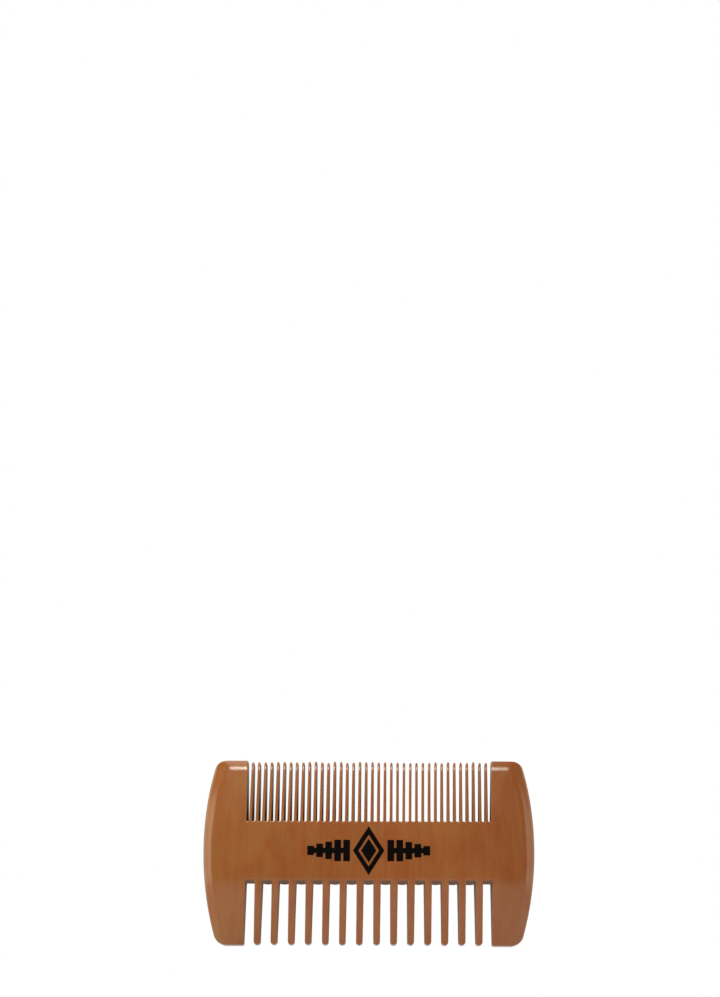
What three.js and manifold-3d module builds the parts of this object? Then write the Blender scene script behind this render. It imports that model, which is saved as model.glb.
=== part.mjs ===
// A double-sided wooden beard comb, standing upright on its wide-tooth side.
//
// Units are millimetres. +X runs along the comb, the printed front face looks towards -Y and
// +Z is up. The origin is on the ground, under the middle of the comb.
//
// The comb is sawn from one flat blank. Here that blank is divided, along the saw cuts, into a
// spine, two end guards and the single teeth. Each of them is a convex solid, the teeth meet
// the spine face to face, and the slots between them stay open. A thin film of ink lies on the
// front of the spine.

import * as THREE from 'three';
import { mergeVertices } from 'three/addons/utils/BufferGeometryUtils.js';
import Module from 'manifold-3d';

const wasm = await Module();
wasm.setup();

// Overall size of the comb.
const LENGTH = 100;
const HEIGHT = 56;
const THICKNESS = 9;

// Front outline: two bulging ends between a straight top and a straight bottom. The ends stand
// out furthest a little above the middle of the comb.
const END_BULGE_RADIUS = 96;
const END_BULGE_HEIGHT = 30;
const TOP_CORNER_RADIUS = 3.3;
const BOTTOM_CORNER_RADIUS = 4;
const HALF_BULGE_STEPS = 10;
const CORNER_STEPS = 4;

// Rounded rim of the bulging ends, measured inwards from the rim and along the thickness.
const RIM_WIDTH = 2.6;
const RIM_DEPTH = 1.8;
const RIM_STEPS = 3;

// Side profile: full thickness across the spine, tapering towards both rows of tips.
const SPINE_BOTTOM = 18.85;
const SPINE_TOP = 36.6;
const WIDE_EDGE_THICKNESS = 4.5;
const FINE_EDGE_THICKNESS = 4.5;
const NOSE_HEIGHT = 2.5;
const NOSE_FLAT = 1.6;
const NOSE_STEPS = 4;

// Inner walls of the two end guards. Above the spine they open outwards, towards the top.
const GUARD_WALL = 36.85;
const GUARD_FLARE = 0.3;

// Fine teeth, pointing up. The saw entered at a slight angle, so each tooth leans sideways
// from the front face to the back face.
const FINE_TEETH = {
  name: 'fine_tooth',
  count: 38,
  pitch: 1.925,
  rootWidth: 0.83,
  tipWidth: 0.70,
  roundLength: 1.0,
  tipClearance: 0.5,
  lean: THREE.MathUtils.degToRad(1.15),
  tipSteps: 6,
};

// Wide teeth, pointing down.
const WIDE_TEETH = {
  name: 'wide_tooth',
  count: 14,
  pitch: 5.07,
  rootWidth: 2.2,
  tipWidth: 1.96,
  roundLength: 1.05,
  tipClearance: 0.2,
  lean: THREE.MathUtils.degToRad(-0.7),
  tipSteps: 8,
};

// Printed ornament, centred on the spine: a lozenge in a lozenge ring between two stepped wings.
const INK_THICKNESS = 0.05;
const RING = { width: 9.4, height: 14.6, stroke: 1.35 };
const CORE = { width: 4.6, height: 7.1 };
const WING = {
  start: 5.6,
  end: 18.4,
  lineHeight: 1.6,
  barWidth: 2.0,
  barHeights: [6.4, 6.4, 5.2, 4.0, 2.8],
};

// Vertices closer together than this are one vertex.
const MERGE_DISTANCE = 1e-5;

function woodMaterial() {
  return new THREE.MeshStandardMaterial({ color: 0x99623a, roughness: 0.42, metalness: 0 });
}

function inkMaterial() {
  return new THREE.MeshStandardMaterial({ color: 0x0b0a0a, roughness: 0.6, metalness: 0 });
}

function solidFromGeometry(geometry) {
  const bare = geometry.clone();
  bare.deleteAttribute('normal');
  bare.deleteAttribute('uv');
  const merged = mergeVertices(bare, MERGE_DISTANCE);
  return new wasm.Manifold(new wasm.Mesh({
    numProp: 3,
    vertProperties: new Float32Array(merged.attributes.position.array),
    triVerts: new Uint32Array(merged.index.array),
  }));
}

function geometryFromSolid(solid) {
  const mesh = solid.getMesh();
  const geometry = new THREE.BufferGeometry();
  geometry.setAttribute('position', new THREE.BufferAttribute(mesh.vertProperties, 3));
  geometry.setIndex(new THREE.BufferAttribute(mesh.triVerts, 1));
  geometry.computeVertexNormals();
  return geometry;
}

// Turns a shape drawn in the front view (x, z) into a prism along Y, between two depths.
function frontPrism(shape, front, back, bevel = {}) {
  const { thickness = 0, size = 0, segments = 0 } = bevel;
  const geometry = new THREE.ExtrudeGeometry(shape, {
    depth: back - front - 2 * thickness,
    bevelEnabled: segments > 0,
    bevelThickness: thickness,
    bevelSize: size,
    bevelOffset: -size,
    bevelSegments: segments,
  });
  geometry.rotateX(Math.PI / 2);
  geometry.translate(0, back - thickness, 0);
  return geometry;
}

// Turns a shape drawn in the side view (y, z) into a prism along X, centred on the comb.
function sidePrism(shape, length) {
  const geometry = new THREE.ExtrudeGeometry(shape, { depth: length, bevelEnabled: false });
  const axes = new THREE.Matrix4().makeBasis(
    new THREE.Vector3(0, 1, 0),
    new THREE.Vector3(0, 0, 1),
    new THREE.Vector3(1, 0, 0),
  );
  geometry.applyMatrix4(axes);
  geometry.translate(-length / 2, 0, 0);
  return geometry;
}

function arcPoints(centre, radius, fromAngle, toAngle, steps) {
  const points = [];
  for (let step = 0; step <= steps; step += 1) {
    const angle = THREE.MathUtils.lerp(fromAngle, toAngle, step / steps);
    points.push(new THREE.Vector2(
      centre.x + radius * Math.cos(angle),
      centre.y + radius * Math.sin(angle),
    ));
  }
  return points;
}

// A corner circle touches both the straight edge and, from inside, the bulge.
function cornerArc(radius, isTop) {
  const height = isTop ? HEIGHT - radius : radius;
  const rise = height - END_BULGE_HEIGHT;
  const reach = Math.sqrt((END_BULGE_RADIUS - radius) ** 2 - rise ** 2);
  return {
    centre: new THREE.Vector2(LENGTH / 2 - END_BULGE_RADIUS + reach, height),
    radius,
    bulgeAngle: Math.atan2(rise, reach),
    straightAngle: (isTop ? 1 : -1) * Math.PI / 2,
  };
}

function outlineShape() {
  const bottom = cornerArc(BOTTOM_CORNER_RADIUS, false);
  const top = cornerArc(TOP_CORNER_RADIUS, true);
  const bulgeCentre = new THREE.Vector2(LENGTH / 2 - END_BULGE_RADIUS, END_BULGE_HEIGHT);
  const rightSide = [
    ...arcPoints(bottom.centre, bottom.radius, bottom.straightAngle, bottom.bulgeAngle, CORNER_STEPS),
    ...arcPoints(bulgeCentre, END_BULGE_RADIUS, bottom.bulgeAngle, 0, HALF_BULGE_STEPS).slice(1),
    ...arcPoints(bulgeCentre, END_BULGE_RADIUS, 0, top.bulgeAngle, HALF_BULGE_STEPS).slice(1, -1),
    ...arcPoints(top.centre, top.radius, top.bulgeAngle, top.straightAngle, CORNER_STEPS),
  ];
  const leftSide = rightSide.map((point) => new THREE.Vector2(-point.x, point.y)).reverse();
  return new THREE.Shape([...rightSide, ...leftSide]);
}

function profileShape() {
  const half = THICKNESS / 2;
  const wideHalf = WIDE_EDGE_THICKNESS / 2;
  const fineHalf = FINE_EDGE_THICKNESS / 2;
  const flatHalf = NOSE_FLAT / 2;
  const noseBottom = HEIGHT - NOSE_HEIGHT;
  const backSide = [
    new THREE.Vector2(wideHalf, 0),
    new THREE.Vector2(half, SPINE_BOTTOM),
    new THREE.Vector2(half, SPINE_TOP),
  ];
  for (let step = 0; step <= NOSE_STEPS; step += 1) {
    const angle = (step / NOSE_STEPS) * Math.PI / 2;
    backSide.push(new THREE.Vector2(
      flatHalf + (fineHalf - flatHalf) * Math.cos(angle),
      noseBottom + NOSE_HEIGHT * Math.sin(angle),
    ));
  }
  const frontSide = backSide.map((point) => new THREE.Vector2(-point.x, point.y)).reverse();
  return new THREE.Shape([...backSide, ...frontSide]);
}

// The whole comb before sawing: the outline with its rounded rim, thinned by the side profile.
function makeBlank() {
  const rim = { thickness: RIM_DEPTH, size: RIM_WIDTH, segments: RIM_STEPS };
  const plate = solidFromGeometry(frontPrism(outlineShape(), -THICKNESS / 2, THICKNESS / 2, rim));
  return plate.intersect(solidFromGeometry(sidePrism(profileShape(), LENGTH)));
}

// Front view of one tooth that points up from z = 0, with its tip at z = length.
function toothShape(teeth, length) {
  const rootHalf = teeth.rootWidth / 2;
  const tipHalf = teeth.tipWidth / 2;
  const roundStart = length - teeth.roundLength;
  const points = [new THREE.Vector2(-rootHalf, 0), new THREE.Vector2(rootHalf, 0)];
  for (let step = 0; step <= teeth.tipSteps; step += 1) {
    const angle = (step / teeth.tipSteps) * Math.PI;
    points.push(new THREE.Vector2(
      tipHalf * Math.cos(angle),
      roundStart + teeth.roundLength * Math.sin(angle),
    ));
  }
  return new THREE.Shape(points);
}

// A tooth as deep as the blank, placed at its root and leaning by the saw's angle.
function placedTooth(teeth, index, length, root, pointsDown) {
  const geometry = frontPrism(toothShape(teeth, length), -THICKNESS, THICKNESS);
  if (pointsDown) geometry.rotateY(Math.PI);
  geometry.applyMatrix4(new THREE.Matrix4().makeShear(0, 0, Math.tan(teeth.lean), 0, 0, 0));
  geometry.translate(toothCentre(teeth, index), 0, root);
  return solidFromGeometry(geometry);
}

function toothCentre(teeth, index) {
  return (index - (teeth.count - 1) / 2) * teeth.pitch;
}

function fineTooth(blank, index) {
  const length = HEIGHT - FINE_TEETH.tipClearance - SPINE_TOP;
  return blank.intersect(placedTooth(FINE_TEETH, index, length, SPINE_TOP, false));
}

function wideTooth(blank, index) {
  const length = SPINE_BOTTOM - WIDE_TEETH.tipClearance;
  return blank.intersect(placedTooth(WIDE_TEETH, index, length, SPINE_BOTTOM, true));
}

function spine(blank) {
  const height = SPINE_TOP - SPINE_BOTTOM;
  const band = new THREE.BoxGeometry(2 * GUARD_WALL, 2 * THICKNESS, height);
  band.translate(0, 0, SPINE_BOTTOM + height / 2);
  return blank.intersect(solidFromGeometry(band));
}

// Everything outside the inner wall: flared beside the fine teeth, upright further down.
function guardRegion(side) {
  const flareEnd = GUARD_WALL + GUARD_FLARE * (2 * HEIGHT - SPINE_TOP) / (HEIGHT - SPINE_TOP);
  return new THREE.Shape([
    new THREE.Vector2(side * flareEnd, 2 * HEIGHT),
    new THREE.Vector2(side * GUARD_WALL, SPINE_TOP),
    new THREE.Vector2(side * GUARD_WALL, -HEIGHT),
    new THREE.Vector2(side * LENGTH, -HEIGHT),
    new THREE.Vector2(side * LENGTH, 2 * HEIGHT),
  ]);
}

function guard(blank, side) {
  return blank.intersect(solidFromGeometry(frontPrism(guardRegion(side), -THICKNESS, THICKNESS)));
}

function inkFilm(shape) {
  const face = -THICKNESS / 2;
  const geometry = frontPrism(shape, face - INK_THICKNESS, face);
  geometry.translate(0, 0, (SPINE_BOTTOM + SPINE_TOP) / 2);
  return geometry;
}

function lozengePoints(width, height) {
  return [
    new THREE.Vector2(width / 2, 0),
    new THREE.Vector2(0, height / 2),
    new THREE.Vector2(-width / 2, 0),
    new THREE.Vector2(0, -height / 2),
  ];
}

// The hole is the outer lozenge moved inwards by the same stroke on all four sides.
function ringShape() {
  const shape = new THREE.Shape(lozengePoints(RING.width, RING.height));
  const sideLength = Math.hypot(RING.width, RING.height) / 2;
  const centreToSide = (RING.width / 2) * (RING.height / 2) / sideLength;
  const scale = (centreToSide - RING.stroke) / centreToSide;
  shape.holes.push(new THREE.Path(lozengePoints(scale * RING.width, scale * RING.height)));
  return shape;
}

// Right-hand wing: upright bars that get shorter outwards, strung on one thin line.
function wingShape() {
  const gap = (WING.end - WING.start - WING.barHeights.length * WING.barWidth)
    / (WING.barHeights.length - 1);
  const upper = [];
  WING.barHeights.forEach((height, index) => {
    const left = WING.start + index * (WING.barWidth + gap);
    const right = left + WING.barWidth;
    if (index > 0) upper.push(new THREE.Vector2(left, WING.lineHeight / 2));
    upper.push(new THREE.Vector2(left, height / 2), new THREE.Vector2(right, height / 2));
    if (right < WING.end - gap / 2) upper.push(new THREE.Vector2(right, WING.lineHeight / 2));
  });
  const lower = upper.map((point) => new THREE.Vector2(point.x, -point.y));
  return new THREE.Shape([...lower, ...upper.reverse()]);
}

function mirroredShape(shape) {
  return new THREE.Shape(shape.getPoints().map((point) => new THREE.Vector2(-point.x, point.y)));
}

function addMesh(group, name, geometry, material) {
  const mesh = new THREE.Mesh(geometry, material);
  mesh.name = name;
  group.add(mesh);
}

function addTeeth(group, blank, teeth, makeTooth) {
  for (let index = 0; index < teeth.count; index += 1) {
    const number = String(index + 1).padStart(2, '0');
    const geometry = geometryFromSolid(makeTooth(blank, index));
    addMesh(group, `${teeth.name}_${number}`, geometry, woodMaterial());
  }
}

function addPrint(group) {
  addMesh(group, 'print_lozenge_ring', inkFilm(ringShape()), inkMaterial());
  const core = new THREE.Shape(lozengePoints(CORE.width, CORE.height));
  addMesh(group, 'print_lozenge_core', inkFilm(core), inkMaterial());
  addMesh(group, 'print_wing_left', inkFilm(mirroredShape(wingShape())), inkMaterial());
  addMesh(group, 'print_wing_right', inkFilm(wingShape()), inkMaterial());
}

const group = new THREE.Group();
const blank = makeBlank();
addMesh(group, 'spine', geometryFromSolid(spine(blank)), woodMaterial());
addMesh(group, 'guard_left', geometryFromSolid(guard(blank, -1)), woodMaterial());
addMesh(group, 'guard_right', geometryFromSolid(guard(blank, 1)), woodMaterial());
addTeeth(group, blank, FINE_TEETH, fineTooth);
addTeeth(group, blank, WIDE_TEETH, wideTooth);
addPrint(group);

export default group;
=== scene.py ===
"""The looks of a double-sided wooden beard comb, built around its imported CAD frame.

Shapes are worked out in millimetres in the frame's own axes: x along the comb, y from the
printed front to the plain back, z up. The comb is one board of wood, so its pieces are parts
of one surface: they share their cut sections and one thickness rule, and meet without a seam.
"""

import math
import random

import bmesh
import bpy
import numpy as np
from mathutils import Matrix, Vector
from mathutils.geometry import delaunay_2d_cdt


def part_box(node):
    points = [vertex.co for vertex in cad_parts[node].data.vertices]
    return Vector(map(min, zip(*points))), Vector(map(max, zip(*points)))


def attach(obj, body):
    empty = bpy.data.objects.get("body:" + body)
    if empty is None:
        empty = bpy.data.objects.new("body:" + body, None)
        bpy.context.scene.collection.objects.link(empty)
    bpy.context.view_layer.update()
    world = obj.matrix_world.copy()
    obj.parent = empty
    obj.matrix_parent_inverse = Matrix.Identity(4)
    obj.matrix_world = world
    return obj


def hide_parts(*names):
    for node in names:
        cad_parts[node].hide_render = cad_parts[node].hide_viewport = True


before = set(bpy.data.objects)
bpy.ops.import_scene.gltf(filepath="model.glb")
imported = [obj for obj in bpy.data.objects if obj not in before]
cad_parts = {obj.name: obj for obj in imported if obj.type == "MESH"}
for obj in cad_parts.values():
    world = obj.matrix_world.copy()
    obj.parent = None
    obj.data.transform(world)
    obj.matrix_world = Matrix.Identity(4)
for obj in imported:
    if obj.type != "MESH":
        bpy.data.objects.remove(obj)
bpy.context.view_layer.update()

MM = 0.001
random.seed(38)

# ---------------------------------------------------------------- sizes taken from the frame


def node_box(name):
    """Lowest and highest corner of a CAD node, in millimetres."""
    low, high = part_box(name)
    return [value / MM for value in low], [value / MM for value in high]


def numbered(prefix):
    """Names of the CAD nodes that start with the prefix, in the order of their numbers."""
    return sorted(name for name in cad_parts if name.startswith(prefix))


SPINE_LOW, SPINE_HIGH = node_box("spine")
GUARD_HIGH = node_box("guard_right")[1]
FINE_NAMES = numbered("fine_tooth_")
WIDE_NAMES = numbered("wide_tooth_")

CREST_WEAR = 0.2  # how far the worn crest lies below the CAD's
HALF_LENGTH = GUARD_HIGH[0]
TOP = GUARD_HIGH[2] - CREST_WEAR
HALF_THICKNESS = GUARD_HIGH[1]
WALL = SPINE_HIGH[0]
WIDE_ROOT = SPINE_LOW[2]
FINE_ROOT = SPINE_HIGH[2]
MIDDLE = TOP / 2

# ---------------------------------------------------------------- driving dimensions, mm

# The outline: two bulging ends of one large radius, with small corners.
BULGE_RADIUS = 96.0
BULGE_HEIGHT = 30.0
TOP_CORNER = 3.3
BOTTOM_CORNER = 4.0
INNER_CORNER = 0.5

# The arris is the small rounding along every edge, the fillet the one at the roots of the slots.
# Each tooth starts as a short stub that belongs to the spine.
ARRIS = 0.28
LARGEST_ROUNDING = 0.95  # of half a tooth's width or depth
FILLET = 0.25
STUB = 0.6

# The thickness: flat over the spine, tapering to both toothed edges.
EDGE_HALF_THICKNESS = 2.25
TAPER_SOFTNESS = 1.4
LEAST_HALF_THICKNESS = 0.45

# Sloping bands along the crest and along the bulging ends, and the last lip along the ends.
CREST_DEPTH = 0.8
CREST_WIDTH = 1.75
CREST_SOFTNESS = 1.0
RIM_DEPTH = 1.5
RIM_WIDTH_LOW = 1.9
RIM_WIDTH_HIGH = 3.9
RIM_SOFTNESS = 0.22
LIP_WIDTH = 0.6
LIP_DEPTH = 0.4

# The ends are slightly barrel-shaped from front to back.
RIM_BOW = 0.3
RIM_BOW_WIDTH = 3.0
RIM_HALF_THICKNESS = 2.5

# The saw cuts lean from front to back and tilt from root to tip, the guards' inner corners flare
# towards the crest, and the roots of the wide slots bulge down in the middle, most at the back.
FINE_LEAN = math.tan(math.radians(1.15))
WIDE_LEAN = math.tan(math.radians(-0.7))
LEAN_BLEND = 3.0
CUT_TILT = math.tan(math.radians(0.5))
GUARD_FLARE = 0.3
GUARD_WARP_WIDTH = 5.0
ROOT_BULGE = 0.27
ROOT_BULGE_FADE = 1.5

# The teeth. Half widths are at the root and where the rounded tip begins; the scatters are the
# most that a tip is too short or stands aside; over its wear length from the root the rounding
# of a tooth's edges changes from the board's to the tooth's own.
FINE = dict(
    names=FINE_NAMES, root=FINE_ROOT, up=1, root_half=0.415, tip_half=0.375,
    round_length=0.7, sharpness=0.65, tip_scatter=0.45, side_scatter=0.04,
    arris=0.24, wear_length=6.0,
)
WIDE = dict(
    names=WIDE_NAMES, root=WIDE_ROOT, up=-1, root_half=1.08, tip_half=0.98,
    round_length=1.0, sharpness=0.62, tip_scatter=0.1, side_scatter=0.04,
    arris=0.5, wear_length=9.0,
)
LAST_TIP_ANGLE = math.radians(86)

# How finely the meshes are divided.
ARRIS_STEPS = 4
WALL_STEPS = 6
FILLET_STEPS = 3
CORNER_STEPS = 10
BULGE_STEPS = 64
SHAFT_STEPS = 30
TIP_STEPS = 10
OUTLINE_SPACING = 0.45
GUARD_SPACING = 0.7
SPINE_SPACING = 0.75
BAND_SPACING = 0.2
BAND_START = ARRIS + 0.1
BAND_END = 4.4
SHARP_ANGLE = math.radians(50)

# What the triangulation is asked for: the triangles inside the outline, on the points as given.
INSIDE_THE_OUTLINE = 1
MERGE_DISTANCE = 1e-7


def tooth_centres(teeth):
    """Where each tooth stands along the comb."""
    boxes = [node_box(name) for name in teeth["names"]]
    return [(low[0] + high[0]) / 2 for low, high in boxes]


FINE["centres"] = tooth_centres(FINE)
WIDE["centres"] = tooth_centres(WIDE)
WIDE_PITCH = WIDE["centres"][1] - WIDE["centres"][0]

# ---------------------------------------------------------------- the board's shape


def smoothstep(low, high, value):
    """0 up to low and 1 from high on, with a smooth rise between."""
    t = np.clip((value - low) / (high - low), 0.0, 1.0)
    return t * t * (3.0 - 2.0 * t)


def soft_ramp(value):
    """Zero below the knee and a straight line above it, with a rounded bend between."""
    return TAPER_SOFTNESS * np.logaddexp(0.0, value / TAPER_SOFTNESS)


def smooth_min(a, b, width):
    """The smaller of a and b, rounded off where they are within width of each other."""
    share = np.clip(0.5 + 0.5 * (b - a) / width, 0.0, 1.0)
    return b + (a - b) * share - width * share * (1.0 - share)


def rim_distance(x, z):
    """How far a point lies inside the bulging end of the outline."""
    centre = HALF_LENGTH - BULGE_RADIUS
    return BULGE_RADIUS - np.hypot(np.abs(x) - centre, z - BULGE_HEIGHT)


def bevel_share(distance, width, softness):
    """0 on the flat face and 1 at the outline, with a soft bend where a sloping band begins."""
    return 1.0 - smooth_min(np.clip(distance, 0.0, None) / width, 1.0, softness)


def half_thickness(x, z):
    """Half the board's thickness: flat spine, tapering edges, a sloping band along the crest and
    the ends, and a last rounded lip along the ends."""
    fine_slope = (HALF_THICKNESS - EDGE_HALF_THICKNESS) / (TOP - CREST_WIDTH - FINE_ROOT)
    wide_slope = (HALF_THICKNESS - EDGE_HALF_THICKNESS) / WIDE_ROOT
    taper = HALF_THICKNESS - fine_slope * soft_ramp(z - FINE_ROOT)
    taper = taper - wide_slope * soft_ramp(WIDE_ROOT - z)
    inside = rim_distance(x, z)
    rim_width = RIM_WIDTH_LOW + (RIM_WIDTH_HIGH - RIM_WIDTH_LOW) * z / TOP
    rim = RIM_DEPTH * bevel_share(inside, rim_width, RIM_SOFTNESS)
    crest = CREST_DEPTH * bevel_share(TOP - z, CREST_WIDTH, CREST_SOFTNESS)
    lip = 1.0 - np.sqrt(1.0 - (1.0 - np.clip(inside / LIP_WIDTH, 0.0, 1.0)) ** 2)
    half = taper - np.hypot(rim, crest) - LIP_DEPTH * lip
    return np.maximum(half, LEAST_HALF_THICKNESS)


def root_bulge(x, y, z):
    """How far the root of each wide slot bulges down: most mid-slot and at the back."""
    half_slot = WIDE_PITCH / 2 - WIDE["root_half"]
    phase = (x - WIDE["centres"][0]) % WIDE_PITCH - WIDE_PITCH / 2
    across = np.clip(1.0 - (phase / half_slot) ** 2, 0.0, 1.0)
    height = 1.0 - smoothstep(0.0, ROOT_BULGE_FADE, np.abs(z - WIDE_ROOT))
    inside = np.abs(x) < WIDE["centres"][-1]
    return ROOT_BULGE * across * height * inside * (0.5 + y / (2 * HALF_THICKNESS))


def warp(x, y, z):
    """Small departures from a straight-sided board: leaning and tilting cuts, flared guards,
    barrel-shaped ends and bulging slot roots."""
    outside = np.abs(x) - WALL
    near_slots = 1.0 - smoothstep(0.0, GUARD_WARP_WIDTH, outside)
    fine_share = smoothstep(FINE_ROOT - LEAN_BLEND, FINE_ROOT - ARRIS, z)
    wide_share = smoothstep(-WIDE_ROOT - LEAN_BLEND, -WIDE_ROOT - ARRIS, -z)
    lean = (FINE_LEAN * fine_share + WIDE_LEAN * wide_share) * near_slots
    above = np.clip((z - FINE_ROOT) / (TOP - FINE_ROOT), 0.0, 1.0)
    flare = GUARD_FLARE * above * near_slots * smoothstep(-FILLET, 0.0, outside)
    tilt = CUT_TILT * (np.clip(z - FINE_ROOT, 0.0, None) - np.clip(WIDE_ROOT - z, 0.0, None))
    barrel = 1.0 - smoothstep(0.0, RIM_BOW_WIDTH, rim_distance(x, z))
    bow = RIM_BOW * barrel * (y / RIM_HALF_THICKNESS) ** 2
    new_x = x + y * lean + tilt * near_slots + np.sign(x) * (flare - bow)
    return new_x, y, z - root_bulge(x, y, z)


# ---------------------------------------------------------------- outlines


def arc(centre_x, centre_z, radius, start, end, steps):
    """Points of an arc, its angles in degrees."""
    angles = np.radians(np.linspace(start, end, steps + 1))
    return [(centre_x + radius * math.cos(a), centre_z + radius * math.sin(a)) for a in angles]


def straight(start, end, steps):
    """Points from start to end, without end."""
    shares = [step / steps for step in range(steps)]
    return [tuple(a + (b - a) * share for a, b in zip(start, end)) for share in shares]


def outline_points(runs_at, inset):
    """Chains the runs of an outline. The straight stretches between them keep their number of
    points at every inset, so that outlines at different insets match point for point."""
    runs = runs_at(inset)
    plain = runs_at(0.0)
    points = []
    for index, run in enumerate(runs):
        after = (index + 1) % len(runs)
        gap = math.dist(plain[index][-1], plain[after][0])
        steps = max(1, round(gap / OUTLINE_SPACING))
        points += run[:-1] + straight(run[-1], runs[after][0], steps)
    return np.array(points)


def guard_runs(inset):
    """Curved runs of the right guard's outline, moved inwards by inset except at its cut."""
    cut = WALL - FILLET
    bulge_x = HALF_LENGTH - BULGE_RADIUS
    low_drop = BULGE_HEIGHT - BOTTOM_CORNER
    high_drop = TOP - TOP_CORNER - BULGE_HEIGHT
    low_reach = math.sqrt((BULGE_RADIUS - BOTTOM_CORNER) ** 2 - low_drop**2)
    high_reach = math.sqrt((BULGE_RADIUS - TOP_CORNER) ** 2 - high_drop**2)
    low_angle = -math.degrees(math.atan2(low_drop, low_reach))
    high_angle = math.degrees(math.atan2(high_drop, high_reach))
    low_x = bulge_x + low_reach
    high_x = bulge_x + high_reach
    inner_x = WALL + INNER_CORNER
    inner_radius = INNER_CORNER - inset
    low = arc(low_x, BOTTOM_CORNER, BOTTOM_CORNER - inset, -90, low_angle, CORNER_STEPS)
    bulge = arc(bulge_x, BULGE_HEIGHT, BULGE_RADIUS - inset, low_angle, high_angle, BULGE_STEPS)
    high = arc(high_x, TOP - TOP_CORNER, TOP_CORNER - inset, high_angle, 90, CORNER_STEPS)
    return [
        arc(cut, WIDE_ROOT - FILLET, FILLET + inset, 90, 0, FILLET_STEPS),
        arc(inner_x, INNER_CORNER, inner_radius, 180, 270, FILLET_STEPS),
        low + bulge[1:-1] + high,
        arc(inner_x, TOP - INNER_CORNER, inner_radius, 90, 180, FILLET_STEPS),
        arc(cut, FINE_ROOT + FILLET, FILLET + inset, 0, -90, FILLET_STEPS),
    ]


def toothed_edge(centres, half, inset):
    """Runs along one edge of the spine, with a short stub for each tooth.

    The edge is drawn from left to right with the wood above it and the teeth pointing down."""
    runs = []
    for centre in centres:
        left = centre - half
        right = centre + half
        runs.append(arc(left - FILLET, -FILLET, FILLET + inset, 90, 0, FILLET_STEPS))
        runs.append([(left + inset, -STUB), (right - inset, -STUB)])
        runs.append(arc(right + FILLET, -FILLET, FILLET + inset, 180, 90, FILLET_STEPS))
    return runs


def spine_runs(inset):
    """Runs of the spine's outline: the wide-toothed edge, then the fine-toothed one turned over."""
    cut = WALL - FILLET
    wide = toothed_edge(WIDE["centres"], WIDE["root_half"], inset)
    fine = toothed_edge([-centre for centre in reversed(FINE["centres"])], FINE["root_half"], inset)
    bottom = [[(x, WIDE_ROOT + z) for x, z in run] for run in wide]
    top = [[(-x, FINE_ROOT - z) for x, z in run] for run in fine]
    corners = [
        [(-cut, WIDE_ROOT + inset)],
        [(cut, WIDE_ROOT + inset)],
        [(cut, FINE_ROOT - inset)],
        [(-cut, FINE_ROOT - inset)],
    ]
    return [corners[0], *bottom, corners[1], corners[2], *top, corners[3]]


# ---------------------------------------------------------------- meshes


def rounding_angles():
    """The steps of a quarter turn, which rounds off an edge."""
    return [math.radians(90) * step / ARRIS_STEPS for step in range(ARRIS_STEPS + 1)]


def arris_levels():
    """Inset and drop of each step of the small rounding along every edge, wall first."""
    return [(ARRIS * (1 - math.cos(a)), ARRIS * (1 - math.sin(a))) for a in rounding_angles()]


def well_inside(points, outline, margin):
    """Keeps the points that lie inside a closed outline and away from it by the margin."""
    start = outline[None, :, :]
    side = np.roll(outline, -1, axis=0)[None, :, :] - start
    offset = points[:, None, :] - start
    along = np.clip((offset * side).sum(2) / (side**2).sum(2), 0.0, 1.0)
    distance = np.linalg.norm(offset - along[..., None] * side, axis=2).min(axis=1)
    rises = (offset[..., 1] >= 0) != (offset[..., 1] - side[..., 1] >= 0)
    height = np.where(side[..., 1] == 0, 1.0, side[..., 1])
    crossing = offset[..., 0] < side[..., 0] * offset[..., 1] / height
    odd = (rises & crossing).sum(axis=1) % 2 == 1
    return points[odd & (distance > margin)]


def filled(outline, inner):
    """Triangles between the outline and the inner points, as indices into both in turn."""
    count = len(outline)
    edges = [(index, (index + 1) % count) for index in range(count)]
    points = [Vector(point) for point in np.vstack((outline, inner))]
    result = delaunay_2d_cdt(points, edges, [], INSIDE_THE_OUTLINE, MERGE_DISTANCE)
    faces, sources = result[2], result[3]
    return [[sources[corner][0] for corner in face] for face in faces]


def finished_mesh(name, vertices, faces):
    """Warps the board's vertices, scales them to metres and makes the closed, smooth mesh."""
    x, y, z = warp(*np.asarray(vertices, dtype=float).T)
    mesh = bpy.data.meshes.new(name)
    mesh.from_pydata((np.stack((x, y, z), axis=1) * MM).tolist(), [], faces)
    shape = bmesh.new()
    shape.from_mesh(mesh)
    bmesh.ops.recalc_face_normals(shape, faces=shape.faces)
    shape.to_mesh(mesh)
    shape.free()
    mesh.shade_smooth()
    mesh.set_sharp_from_angle(angle=SHARP_ANGLE)
    piece = bpy.data.objects.new(name, mesh)
    bpy.context.scene.collection.objects.link(piece)
    return piece


def strip_faces(ring_count, ring_size):
    """Quads between neighbouring rings of the same size."""
    faces = []
    for ring in range(ring_count - 1):
        for index in range(ring_size):
            following = (index + 1) % ring_size
            low = ring * ring_size
            high = low + ring_size
            faces.append((low + index, low + following, high + following, high + index))
    return faces


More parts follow.
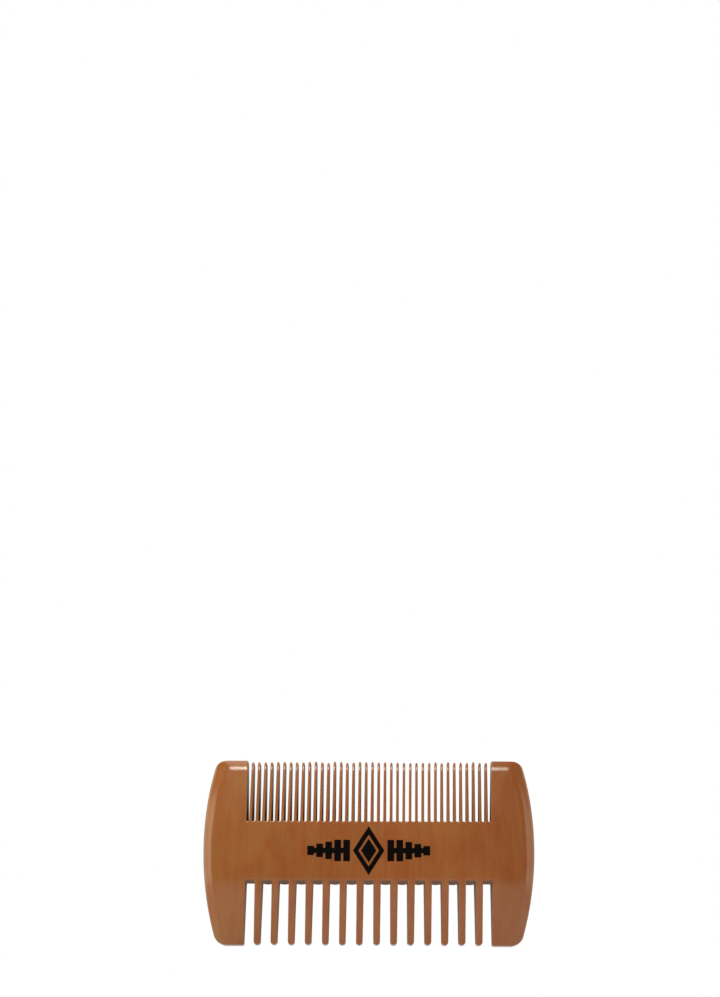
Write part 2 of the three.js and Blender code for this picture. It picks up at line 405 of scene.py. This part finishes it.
def plate(name, runs_at, candidates, mirror=1):
    """A piece of board inside one outline: two faces, rounded edges and straight side walls.

    The candidates are points for the middle of its faces, and a mirror of -1 turns the piece
    left for right."""
    front, back = [], []
    for inset, drop in arris_levels():
        x, z = outline_points(runs_at, inset).T
        half = half_thickness(x, z) - drop
        front.append(np.stack((x, -half, z), axis=1))
        back.append(np.stack((x, half, z), axis=1))
    shares = [step / WALL_STEPS for step in range(1, WALL_STEPS)]
    walls = [front[0] + (back[0] - front[0]) * share for share in shares]
    rings = front[::-1] + walls + back
    size = len(rings[0])
    edge = front[-1][:, [0, 2]]
    inner = well_inside(candidates, edge, ARRIS / 2)
    depth = half_thickness(inner[:, 0], inner[:, 1])
    front_face = np.stack((inner[:, 0], -depth, inner[:, 1]), axis=1)
    back_face = np.stack((inner[:, 0], depth, inner[:, 1]), axis=1)
    vertices = np.vstack((*rings, front_face, back_face)) * (mirror, 1, 1)
    faces = strip_faces(len(rings), size)
    last_ring = size * (len(rings) - 1)
    for triangle in filled(edge, inner):
        faces.append([c if c < size else c + last_ring for c in triangle])
        faces.append([c + last_ring if c < size else c + last_ring + len(inner) for c in triangle])
    return finished_mesh(name, vertices, faces)


def section(half_width, half_depth, rounding):
    """One closed cross-section of a tooth: a rectangle with rounded edges."""
    radius = min(rounding, LARGEST_ROUNDING * half_width, LARGEST_ROUNDING * half_depth)
    corner = [
        (half_width - radius * (1 - math.cos(a)), half_depth - radius * (1 - math.sin(a)))
        for a in rounding_angles()
    ]
    wall = half_depth - radius
    side = [(half_width, wall * (1 - 2 * step / WALL_STEPS)) for step in range(1, WALL_STEPS)]
    points = [(x, -y) for x, y in corner]
    points += [(-x, -y) for x, y in reversed(corner)]
    points += [(-x, -y) for x, y in side]
    points += [(-x, y) for x, y in corner]
    points += [(x, y) for x, y in reversed(corner)]
    points += side
    return points


def tooth_stations(teeth, length):
    """Height above the stub and half width at each ring of a tooth, from its stub to its tip."""
    shaft = length - teeth["round_length"]
    taper = teeth["tip_half"] - teeth["root_half"]
    stations = []
    for step in range(SHAFT_STEPS):
        share = step / SHAFT_STEPS
        stations.append((shaft * share, teeth["root_half"] + taper * share))
    for step in range(TIP_STEPS + 1):
        angle = LAST_TIP_ANGLE * step / TIP_STEPS
        height = shaft + teeth["round_length"] * math.sin(angle) / math.sin(LAST_TIP_ANGLE)
        stations.append((height, teeth["tip_half"] * math.cos(angle) ** teeth["sharpness"]))
    return stations


def tooth(name, teeth, index):
    """One tooth: cross-sections stacked from its stub on the spine to its rounded tip."""
    low, high = node_box(teeth["names"][index])
    stub_end = teeth["root"] + teeth["up"] * STUB
    tip = high[2] if teeth["up"] > 0 else low[2]
    length = abs(tip - stub_end) - random.uniform(0, teeth["tip_scatter"])
    drift = random.uniform(-1, 1) * teeth["side_scatter"]
    centre = teeth["centres"][index]
    vertices = []
    stations = tooth_stations(teeth, length)
    for height, half_width in stations:
        z = stub_end + teeth["up"] * height
        x = centre + drift * (height / length) ** 2
        wear = float(smoothstep(0.0, teeth["wear_length"], height))
        half_depth = float(half_thickness(np.array(centre), np.array(z)))
        rounding = ARRIS + (teeth["arris"] - ARRIS) * wear
        vertices += [(x + px, py, z) for px, py in section(half_width, half_depth, rounding)]
    size = len(vertices) // len(stations)
    faces = strip_faces(len(stations), size)
    faces.append(list(range(size)))
    faces.append(list(range(len(vertices) - size, len(vertices))))
    return finished_mesh(name, vertices, faces)


def guard_candidates():
    """Points on a guard's face, closer together on its sloping rim and its sloping crest."""
    near = list(np.arange(BAND_START, BAND_END, BAND_SPACING))
    band_foot = TOP - near[-1] - GUARD_SPACING / 2
    zs = [TOP - step for step in near] + list(np.arange(GUARD_SPACING, band_foot, GUARD_SPACING))
    plain_steps = np.arange(near[-1] + GUARD_SPACING, HALF_LENGTH - WALL, GUARD_SPACING)
    steps_in = near + list(plain_steps)
    bulge_x = HALF_LENGTH - BULGE_RADIUS
    points = []
    for z in zs:
        rim = bulge_x + math.sqrt(BULGE_RADIUS**2 - (z - BULGE_HEIGHT) ** 2)
        points += [(rim - step, z) for step in steps_in]
    return np.array(points)


def spine_candidates():
    """An even grid of points on the spine's face."""
    xs = np.arange(-WALL + SPINE_SPACING, WALL, SPINE_SPACING)
    zs = np.arange(WIDE_ROOT + SPINE_SPACING, FINE_ROOT, SPINE_SPACING)
    return np.array([(x, z) for x in xs for z in zs])


# ---------------------------------------------------------------- pieces


def wood_piece(piece, node):
    """Finishes a piece in wood and puts it in the place of its CAD node."""
    piece.data.materials.append(wood)
    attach(piece, "root")
    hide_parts(node)


def make_wood():
    """The spine, both guards and every tooth."""
    wood_piece(plate("wood_spine", spine_runs, spine_candidates()), "spine")
    for side, node in ((-1, "guard_left"), (1, "guard_right")):
        wood_piece(plate("wood_" + node, guard_runs, guard_candidates(), side), node)
    for teeth in (FINE, WIDE):
        for index, node in enumerate(teeth["names"]):
            wood_piece(tooth("wood_" + node, teeth, index), node)


def make_print():
    """The ink keeps its CAD film and gets a finer material."""
    for name in numbered("print_"):
        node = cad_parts[name]
        node.data.materials.clear()
        node.data.materials.append(ink)


# ---------------------------------------------------------------- wood and ink, in numbers

# How fast each pattern varies, in cycles per millimetre along x, y and z. The grain runs along
# the teeth, so every pattern of the wood is longest along z, apart from the marks of the saw.
BLOTCH_SCALE = (0.045, 0.05, 0.03)
CLOUD_SCALE = (0.26, 0.2, 0.10)
STREAK_SCALE = (0.65, 0.5, 0.045)
FIBRE_SCALE = (4.5, 4.5, 0.22)
PORE_SCALE = (3.0, 3.0, 0.45)
FLECK_SCALE = (0.75, 0.75, 0.24)
SAW_MARK_SCALE = (0.4, 3.2, 0.5)

# Colours along each pattern's range, as (place, colour or grey). The first gives the wood its
# colour and the others multiply it; the last of them runs along the whole board and is painted
# shade: it darkens the right end of the board, as the light falls off towards that end.
PLAIN = (1.0, 1.0, 1.0)
BASE_COLOURS = [(0.32, (0.265, 0.0790, 0.0175)), (0.68, (0.300, 0.0960, 0.0240))]
CLOUD_TONES = [(0.34, (0.96, 0.86, 0.82)), (0.5, PLAIN), (0.66, (1.0, 1.12, 1.15))]
STREAK_TONES = [(0.30, (0.94, 0.89, 0.84)), (0.5, PLAIN), (0.70, (1.02, 1.08, 1.12))]
FIBRE_TONES = [(0.25, 0.95), (0.75, 1.03)]
PORE_TONES = [(0.20, 0.55), (0.31, 1.0)]
PORE_STRENGTH = 0.55
FLECK_TONES = [(0.17, 0.35), (0.25, 1.0)]
FLECK_STRENGTH = 0.6
# Painted shade: the board darker towards its right end, where less light falls.
PAINTED_SHADE_ALONG_BOARD = [
    (0.10, (0.98, 1.03, 0.97)), (0.28, (0.97, 0.97, 0.98)),
    (0.72, (0.98, 0.97, 1.0)), (0.90, (0.87, 0.86, 0.90)),
]

# The waxed faces.
WAXED_ROUGHNESS = [(0.3, 0.40), (0.7, 0.48)]
WAXED_SPECULAR = 0.06
WAX = 0.85
WAX_ROUGHNESS = 0.17
GRAIN_STRENGTH = 0.25
GRAIN_DEPTH = 0.03
STREAK_RELIEF = 0.6

# The sawn walls of the slots. A wall counts as sawn from a certain turn of its face away from
# the front, and takes some of the wax towards the tips.
SAWN_DARK = (0.27, 0.127, 0.056)
SAWN_PALE = (0.37, 0.185, 0.085)
SAWN_TONES = [(0.42, (1.05, 0.88, 0.95)), (0.58, (0.92, 1.05, 0.92))]
SAWN_ROUGHNESS = 0.85
SAWN_GAIN = 2.5
SAWN_OFFSET = -1.4
SLOT_MARGIN = 1.0
FINE_WALL_WAX = 0.7
FINE_WAX_START = FINE_ROOT + 3.0
WIDE_WALL_WAX = 0.28
WIDE_WAX_START = WIDE_ROOT + 3.0
WIDE_WAX_END = WIDE_ROOT - 4.0

INK_COLOURS = [(0.3, (0.001, 0.001, 0.001)), (0.8, (0.004, 0.003, 0.003))]
INK_ROUGHNESS = [(0.3, 0.6), (0.7, 0.7)]
INK_SPECULAR = 0.03

# ---------------------------------------------------------------- materials


def new_material(name):
    """A material, its node tree and its empty Principled shader."""
    material = bpy.data.materials.new(name)
    material.use_nodes = True
    tree = material.node_tree
    tree.nodes.clear()
    shader = tree.nodes.new("ShaderNodeBsdfPrincipled")
    output = tree.nodes.new("ShaderNodeOutputMaterial")
    tree.links.new(shader.outputs["BSDF"], output.inputs["Surface"])
    return material, tree, shader


def place_on_object(tree):
    """The node that splits a point's place on the object, in metres, into X, Y and Z."""
    coordinates = tree.nodes.new("ShaderNodeTexCoord")
    place = tree.nodes.new("ShaderNodeSeparateXYZ")
    tree.links.new(coordinates.outputs["Object"], place.inputs["Vector"])
    return place


def stretched_noise(tree, scale, detail, roughness, distortion=0.0):
    """Noise over the object's own coordinates; scale is cycles per millimetre on x, y and z."""
    coordinates = tree.nodes.new("ShaderNodeTexCoord")
    mapping = tree.nodes.new("ShaderNodeMapping")
    mapping.inputs["Scale"].default_value = [value / MM for value in scale]
    tree.links.new(coordinates.outputs["Object"], mapping.inputs["Vector"])
    noise = tree.nodes.new("ShaderNodeTexNoise")
    noise.inputs["Scale"].default_value = 1.0
    noise.inputs["Detail"].default_value = detail
    noise.inputs["Roughness"].default_value = roughness
    noise.inputs["Distortion"].default_value = distortion
    tree.links.new(mapping.outputs["Vector"], noise.inputs["Vector"])
    return noise.outputs["Fac"]


def grey(value):
    """A number as a colour."""
    return (value,) * 3


def ramp(tree, source, stops):
    """A colour ramp; stops are (position, colour or grey value)."""
    node = tree.nodes.new("ShaderNodeValToRGB")
    elements = node.color_ramp.elements
    while len(elements) < len(stops):
        elements.new(0.5)
    for element, (position, colour) in zip(elements, stops):
        element.position = position
        rgb = colour if isinstance(colour, tuple) else grey(colour)
        element.color = (*rgb, 1.0)
    tree.links.new(source, node.inputs["Fac"])
    return node.outputs["Color"]


def mixed(tree, share, first, second, blend="MIX"):
    """A colour mix; each of its inputs is a socket, a colour or a number."""
    node = tree.nodes.new("ShaderNodeMix")
    node.data_type = "RGBA"
    node.blend_type = blend
    for socket, value in (("Factor", share), ("A", first), ("B", second)):
        target = [s for s in node.inputs if s.name == socket and s.enabled][0]
        if isinstance(value, bpy.types.NodeSocket):
            tree.links.new(value, target)
        elif isinstance(value, tuple):
            target.default_value = (*value, 1.0)
        else:
            target.default_value = value
    return [s for s in node.outputs if s.enabled][0]


def math_node(tree, operation, first, second=0.0, third=0.0, clamp=False):
    """The result of one operation; each of its inputs is a socket or a number."""
    node = tree.nodes.new("ShaderNodeMath")
    node.operation = operation
    node.use_clamp = clamp
    for socket, value in zip(node.inputs, (first, second, third)):
        if isinstance(value, bpy.types.NodeSocket):
            tree.links.new(value, socket)
        else:
            socket.default_value = value
    return node.outputs["Value"]


def sawn_share(tree):
    """1 on the sawn walls between the teeth, 0 on every sanded face."""
    geometry = tree.nodes.new("ShaderNodeNewGeometry")
    normal = tree.nodes.new("ShaderNodeSeparateXYZ")
    tree.links.new(geometry.outputs["Normal"], normal.inputs["Vector"])
    place = place_on_object(tree)
    sideways = math_node(tree, "ABSOLUTE", normal.outputs["X"])
    upright = math_node(tree, "ABSOLUTE", normal.outputs["Z"])
    across = math_node(tree, "ABSOLUTE", place.outputs["X"])
    in_field = math_node(tree, "LESS_THAN", across, (WALL + SLOT_MARGIN) * MM)
    above = math_node(tree, "GREATER_THAN", place.outputs["Z"], (WIDE_ROOT - SLOT_MARGIN) * MM)
    below = math_node(tree, "LESS_THAN", place.outputs["Z"], (FINE_ROOT + SLOT_MARGIN) * MM)
    near_spine = math_node(tree, "MULTIPLY", above, below)
    root = math_node(tree, "MULTIPLY", upright, near_spine)
    facing = math_node(tree, "MAXIMUM", sideways, root)
    sharp = math_node(tree, "MULTIPLY_ADD", facing, SAWN_GAIN, SAWN_OFFSET, clamp=True)
    return math_node(tree, "MULTIPLY", sharp, in_field)


def risen_share(tree, value, start, end, most=1.0):
    """Rises in a straight line from 0 at start to the most at end, both in millimetres."""
    rise = tree.nodes.new("ShaderNodeMapRange")
    rise.inputs["From Min"].default_value = start * MM
    rise.inputs["From Max"].default_value = end * MM
    rise.inputs["To Max"].default_value = most
    tree.links.new(value, rise.inputs["Value"])
    return rise.outputs["Result"]


def wall_wax(tree):
    """How much of the wax the sawn walls carry: the fine teeth more towards their tips, the wide
    ones nearly the same all along."""
    height = place_on_object(tree).outputs["Z"]
    fine = risen_share(tree, height, FINE_WAX_START, TOP, FINE_WALL_WAX)
    wide = risen_share(tree, height, WIDE_WAX_START, WIDE_WAX_END, WIDE_WALL_WAX)
    return math_node(tree, "MAXIMUM", fine, wide)


def along_board(tree):
    """0 at the left end of the comb and 1 at the right end."""
    return risen_share(tree, place_on_object(tree).outputs["X"], -HALF_LENGTH, HALF_LENGTH)


def wood_material():
    """Pale fruit wood, sanded and waxed, with its grain running along the teeth."""
    material, tree, shader = new_material("fruit_wood")
    blotches = stretched_noise(tree, BLOTCH_SCALE, detail=3, roughness=0.5, distortion=0.6)
    clouds = stretched_noise(tree, CLOUD_SCALE, detail=3, roughness=0.55, distortion=0.5)
    streaks = stretched_noise(tree, STREAK_SCALE, detail=4, roughness=0.6, distortion=0.4)
    fibres = stretched_noise(tree, FIBRE_SCALE, detail=3, roughness=0.6)
    pores = stretched_noise(tree, PORE_SCALE, detail=2, roughness=0.5)
    flecks = stretched_noise(tree, FLECK_SCALE, detail=2, roughness=0.4)
    saw_marks = stretched_noise(tree, SAW_MARK_SCALE, detail=3, roughness=0.6)

    waxed_colour = ramp(tree, blotches, BASE_COLOURS)
    layers = [
        (clouds, CLOUD_TONES, 1.0),
        (streaks, STREAK_TONES, 1.0),
        # painted shade: darkens the right end of the board, as the light falls off there
        (along_board(tree), PAINTED_SHADE_ALONG_BOARD, 1.0),
        (fibres, FIBRE_TONES, 1.0),
        (pores, PORE_TONES, PORE_STRENGTH),
        (flecks, FLECK_TONES, FLECK_STRENGTH),
    ]
    for pattern, tones, strength in layers:
        waxed_colour = mixed(tree, strength, waxed_colour, ramp(tree, pattern, tones), "MULTIPLY")
    sawn_colour = mixed(tree, saw_marks, SAWN_DARK, SAWN_PALE)
    sawn_colour = mixed(tree, 1.0, sawn_colour, ramp(tree, clouds, SAWN_TONES), "MULTIPLY")
    waxed_roughness = ramp(tree, blotches, WAXED_ROUGHNESS)

    sawn = sawn_share(tree)
    finish = {
        "Base Color": (waxed_colour, sawn_colour),
        "Roughness": (waxed_roughness, grey(SAWN_ROUGHNESS)),
        "Specular IOR Level": (grey(WAXED_SPECULAR), grey(0.0)),
        "Coat Weight": (grey(WAX), wall_wax(tree)),
    }
    for socket, (on_faces, on_walls) in finish.items():
        tree.links.new(mixed(tree, sawn, on_faces, on_walls), shader.inputs[socket])
    shader.inputs["Coat Roughness"].default_value = WAX_ROUGHNESS

    relief = math_node(tree, "ADD", fibres, math_node(tree, "MULTIPLY", streaks, STREAK_RELIEF))
    bump = tree.nodes.new("ShaderNodeBump")
    bump.inputs["Strength"].default_value = GRAIN_STRENGTH
    bump.inputs["Distance"].default_value = GRAIN_DEPTH * MM
    tree.links.new(relief, bump.inputs["Height"])
    tree.links.new(bump.outputs["Normal"], shader.inputs["Normal"])
    return material


def ink_material():
    """Matte black printing ink, a little thin where the fibres of the wood stand up."""
    material, tree, shader = new_material("black_ink")
    fibres = stretched_noise(tree, FIBRE_SCALE, detail=3, roughness=0.6)
    tree.links.new(ramp(tree, fibres, INK_COLOURS), shader.inputs["Base Color"])
    tree.links.new(ramp(tree, fibres, INK_ROUGHNESS), shader.inputs["Roughness"])
    shader.inputs["Specular IOR Level"].default_value = INK_SPECULAR
    return material


# ---------------------------------------------------------------- camera, lights and floor

CAMERA_PLACE = (1.63, -475.0, -45.6)
CAMERA_TARGET = (-2.96, 0.0, 95.42)
CAMERA_ROLL = math.radians(0.28)
CAMERA_SHIFT = 0.14
LENS = 56.8995
SENSOR = 36.0
NEAREST_SEEN = 10.0
FARTHEST_SEEN = 20000.0

# The room lights the comb from the front, the brighter backdrop from behind; along y from the
# first edge to the second, one passes into the other.
ROOM_STRENGTH = 0.12
BACKDROP_STRENGTH = 0.5
ROOM_EDGE = -0.5
BACKDROP_EDGE = 0.2
ROOM_COLOUR = (0.97, 0.98, 1.0, 1.0)
WHITE = (1.0, 1.0, 1.0, 1.0)

FLOOR_RADIUS = 2000.0
FLOOR_SIDES = 96
FLOOR_COLOUR = (0.26, 0.26, 0.26, 1.0)
FLOOR_ROUGHNESS = 0.7
FLOOR_GLOW = 0.6
FLOOR_GLOW_COLOUR = (1.0, 0.99, 0.97, 1.0)

# Each light's name, place, size, watts and colour. All of them face the middle of the comb.
LIGHTS = [
    ("strip_left", (-35, -290, 290), (110, 100), 0.64, (1.0, 0.96, 0.86)),
    ("strip_right", (56, -290, 290), (40, 100), 0.19, (1.0, 0.95, 0.82)),
    ("key", (-400, -330, 110), (600, 600), 0.14, (1.0, 1.0, 1.0)),
    ("top", (-110, -60, 460), (500, 300), 1.0, (1.0, 0.97, 0.84)),
    ("left", (-420, -30, 80), (500, 500), 1.3, (1.0, 0.98, 0.72)),
    ("right", (420, -30, 80), (500, 500), 0.9, (1.0, 0.98, 0.75)),
]


def aim(thing, place, target):
    """Puts a camera or light at a place and turns it towards its target."""
    thing.location = [value * MM for value in place]
    direction = Vector(target) - Vector(place)
    thing.rotation_euler = direction.to_track_quat("-Z", "Y").to_euler()


def make_camera():
    """The camera, a little below the comb's foot, with the comb in the lower part of its frame."""
    data = bpy.data.cameras.new("camera")
    data.sensor_width = SENSOR
    data.lens = LENS
    data.shift_y = CAMERA_SHIFT
    data.clip_start = NEAREST_SEEN * MM
    data.clip_end = FARTHEST_SEEN * MM
    camera = bpy.data.objects.new("camera", data)
    bpy.context.scene.collection.objects.link(camera)
    aim(camera, CAMERA_PLACE, CAMERA_TARGET)
    camera.rotation_euler.rotate_axis("Z", CAMERA_ROLL)
    bpy.context.scene.camera = camera


def area_light(name, place, size, watts, colour):
    """One elliptical light."""
    data = bpy.data.lights.new(name, "AREA")
    data.shape = "ELLIPSE"
    data.size = size[0] * MM
    data.size_y = size[1] * MM
    data.energy = watts
    data.color = colour
    light = bpy.data.objects.new(name, data)
    bpy.context.scene.collection.objects.link(light)
    aim(light, place, (0.0, 0.0, MIDDLE))


def join_shaders(tree, share, first, second, output):
    """Shows the first shader where the share is 0 and the second where it is 1."""
    mix = tree.nodes.new("ShaderNodeMixShader")
    tree.links.new(share, mix.inputs["Fac"])
    tree.links.new(first, mix.inputs[1])
    tree.links.new(second, mix.inputs[2])
    tree.links.new(mix.outputs["Shader"], output.inputs["Surface"])


def make_world():
    """Plain white to the camera, and soft light that comes mostly from the white backdrop."""
    world = bpy.data.worlds.new("studio")
    bpy.context.scene.world = world
    world.use_nodes = True
    tree = world.node_tree
    tree.nodes.clear()
    seen = tree.nodes.new("ShaderNodeBackground")
    seen.inputs["Color"].default_value = WHITE
    lit = tree.nodes.new("ShaderNodeBackground")
    lit.inputs["Color"].default_value = ROOM_COLOUR
    coordinates = tree.nodes.new("ShaderNodeTexCoord")
    direction = tree.nodes.new("ShaderNodeSeparateXYZ")
    strength = tree.nodes.new("ShaderNodeMapRange")
    strength.interpolation_type = "SMOOTHSTEP"
    strength.inputs["From Min"].default_value = ROOM_EDGE
    strength.inputs["From Max"].default_value = BACKDROP_EDGE
    strength.inputs["To Min"].default_value = ROOM_STRENGTH
    strength.inputs["To Max"].default_value = BACKDROP_STRENGTH
    tree.links.new(coordinates.outputs["Generated"], direction.inputs["Vector"])
    tree.links.new(direction.outputs["Y"], strength.inputs["Value"])
    tree.links.new(strength.outputs["Result"], lit.inputs["Strength"])
    path = tree.nodes.new("ShaderNodeLightPath")
    output = tree.nodes.new("ShaderNodeOutputWorld")
    join_shaders(tree, path.outputs["Is Camera Ray"], lit.outputs[0], seen.outputs[0], output)


def floor_material():
    """Pale and slightly glowing from above, clear from below."""
    material, tree, shader = new_material("pale_floor")
    shader.inputs["Base Color"].default_value = FLOOR_COLOUR
    shader.inputs["Roughness"].default_value = FLOOR_ROUGHNESS
    shader.inputs["Emission Color"].default_value = FLOOR_GLOW_COLOUR
    shader.inputs["Emission Strength"].default_value = FLOOR_GLOW
    geometry = tree.nodes.new("ShaderNodeNewGeometry")
    clear = tree.nodes.new("ShaderNodeBsdfTransparent")
    output = [node for node in tree.nodes if node.type == "OUTPUT_MATERIAL"][0]
    join_shaders(tree, geometry.outputs["Backfacing"], shader.outputs[0], clear.outputs[0], output)
    return material


def make_floor():
    """A round floor under the comb. It shows only from above, because the camera is below it."""
    rim = arc(0.0, 0.0, FLOOR_RADIUS * MM, 0, 360, FLOOR_SIDES)[:-1]
    mesh = bpy.data.meshes.new("floor")
    mesh.from_pydata([(x, y, 0.0) for x, y in rim], [], [range(FLOOR_SIDES)])
    mesh.materials.append(floor_material())
    floor = bpy.data.objects.new("floor", mesh)
    bpy.context.scene.collection.objects.link(floor)


# ---------------------------------------------------------------- the scene

wood = wood_material()
ink = ink_material()
make_wood()
make_print()
make_camera()
make_world()
make_floor()
for light in LIGHTS:
    area_light(*light)
bpy.context.scene.view_settings.view_transform = "Standard"
